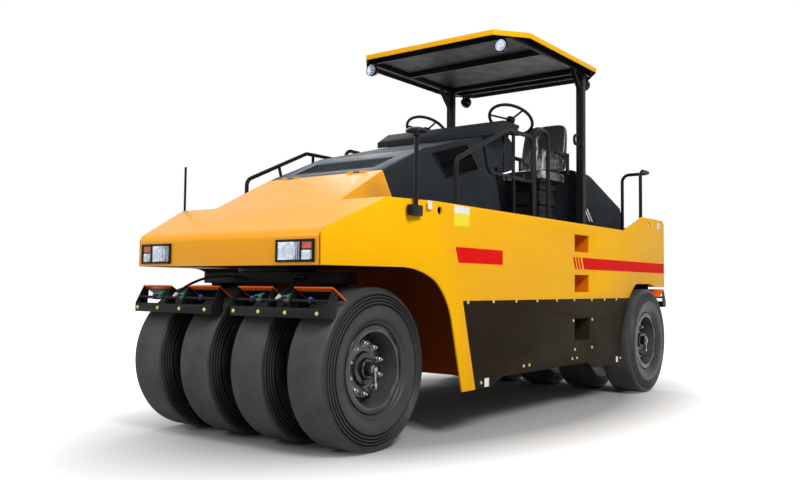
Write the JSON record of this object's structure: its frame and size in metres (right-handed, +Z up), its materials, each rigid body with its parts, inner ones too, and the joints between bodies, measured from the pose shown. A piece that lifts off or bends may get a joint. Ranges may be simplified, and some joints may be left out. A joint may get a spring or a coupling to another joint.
{
  "type": "pneumatic tyre roller",
  "caption": "Self-propelled smooth-tyred compaction roller with steered front tyres, a low engine hood, guard rails and a post canopy.",
  "frame": {"origin": "on the ground below the middle of the machine's length and width", "axes": "+X the machine's left, +Y its rear, +Z up"},
  "size_m": [2.3234, 5.276, 3.195],
  "materials": {
    "body_paint": "glossy yellow paint",
    "cowl_paint": "satin near-black paint",
    "frame_paint": "satin black paint",
    "scraper_paint": "orange paint",
    "tyre_rubber": "smooth worn rubber",
    "rim_paint": "black paint",
    "cast_metal": "painted casting",
    "core_fins": "dull fins",
    "bare_steel": "machined",
    "seat_cover": "black vinyl",
    "grip_plastic": "moulded black plastic",
    "lamp_body": "black housing",
    "lamp_lens": "clear lens over a bright reflector",
    "red_lens": "red lens"
  },
  "bodies": {
    "chassis": {"step_boxes": "body_paint", "side_plate_left": "body_paint", "side_plate_right": "body_paint", "nose_hood": "body_paint", "canopy_roof": "body_paint", "tail_plate": "body_paint", "cowl_shell": "cowl_paint", "dash_console": "cowl_paint", "rear_cover": "cowl_paint", "operator_deck": "frame_paint", "main_frame": "frame_paint", "ballast_box": "frame_paint", "skirt_left": "frame_paint", "skirt_right": "frame_paint", "rear_carriers": "frame_paint", "canopy_frame": "frame_paint", "guard_rail_left": "frame_paint", "guard_rail_right": "frame_paint", "corner_rail_left": "frame_paint", "mirror_post": "frame_paint", "marker_rod": "frame_paint", "steering_columns": "frame_paint", "rear_tray": "frame_paint", "rear_scrapers": "scraper_paint", "engine_block": "cast_metal", "radiator": "core_fins", "operator_seats": "seat_cover", "work_lamps": "lamp_body", "headlamps": "lamp_lens", "tail_lamps": "red_lens"},
    "engine_lid": {"grille_lid": "cowl_paint"},
    "steering_wheel_left": {"handwheel_left": "grip_plastic"},
    "steering_wheel_right": {"handwheel_right": "grip_plastic"},
    "front_steering": {"steer_yoke": "frame_paint", "front_axles": "bare_steel", "front_trays": "frame_paint", "front_scrapers": "scraper_paint"},
    "rear_wheel_set_left": {"tyre_rear_4": "tyre_rubber", "tyre_rear_5": "tyre_rubber", "wheels_rear_left": "rim_paint"},
    "rear_wheel_set_right": {"tyre_rear_1": "tyre_rubber", "tyre_rear_2": "tyre_rubber", "tyre_rear_3": "tyre_rubber", "wheels_rear_right": "rim_paint"},
    "front_wheel_1": {"tyre_front_1": "tyre_rubber", "wheel_front_1": "rim_paint"},
    "front_wheel_2": {"tyre_front_2": "tyre_rubber", "wheel_front_2": "rim_paint"},
    "front_wheel_3": {"tyre_front_3": "tyre_rubber", "wheel_front_3": "rim_paint"},
    "front_wheel_4": {"tyre_front_4": "tyre_rubber", "wheel_front_4": "rim_paint"}
  },
  "joints": [
    {"name": "front_steer", "type": "hinge", "parent": "chassis", "child": "front_steering", "pos_m": [0, -2.111, 0.6], "axis": [0, 0, 1], "range_deg": [-35, 35]},
    {"name": "engine_lid_hinge", "type": "hinge", "parent": "chassis", "child": "engine_lid", "pos_m": [0, -1.656, 1.862], "axis": [1, 0, 0], "range_deg": [0, 60]},
    {"name": "handwheel_left_turn", "type": "hinge", "parent": "chassis", "child": "steering_wheel_left", "pos_m": [0.47, 0.359, 2.57], "axis": [0, 0.5299, 0.848], "continuous": true},
    {"name": "handwheel_right_turn", "type": "hinge", "parent": "chassis", "child": "steering_wheel_right", "pos_m": [-0.47, 0.359, 2.57], "axis": [0, 0.5299, 0.848], "continuous": true},
    {"name": "front_wheel_1_spin", "type": "hinge", "parent": "front_steering", "child": "front_wheel_1", "pos_m": [-0.75, -2.111, 0.518], "axis": [1, 0, 0], "continuous": true},
    {"name": "front_wheel_2_spin", "type": "hinge", "parent": "front_steering", "child": "front_wheel_2", "pos_m": [-0.25, -2.111, 0.518], "axis": [1, 0, 0], "continuous": true},
    {"name": "front_wheel_3_spin", "type": "hinge", "parent": "front_steering", "child": "front_wheel_3", "pos_m": [0.25, -2.111, 0.518], "axis": [1, 0, 0], "continuous": true},
    {"name": "front_wheel_4_spin", "type": "hinge", "parent": "front_steering", "child": "front_wheel_4", "pos_m": [0.75, -2.111, 0.518], "axis": [1, 0, 0], "continuous": true},
    {"name": "rear_left_spin", "type": "hinge", "parent": "chassis", "child": "rear_wheel_set_left", "pos_m": [0.75, 1.974, 0.518], "axis": [1, 0, 0], "continuous": true},
    {"name": "rear_right_spin", "type": "hinge", "parent": "chassis", "child": "rear_wheel_set_right", "pos_m": [-0.5, 1.974, 0.518], "axis": [1, 0, 0], "continuous": true}
  ]
}
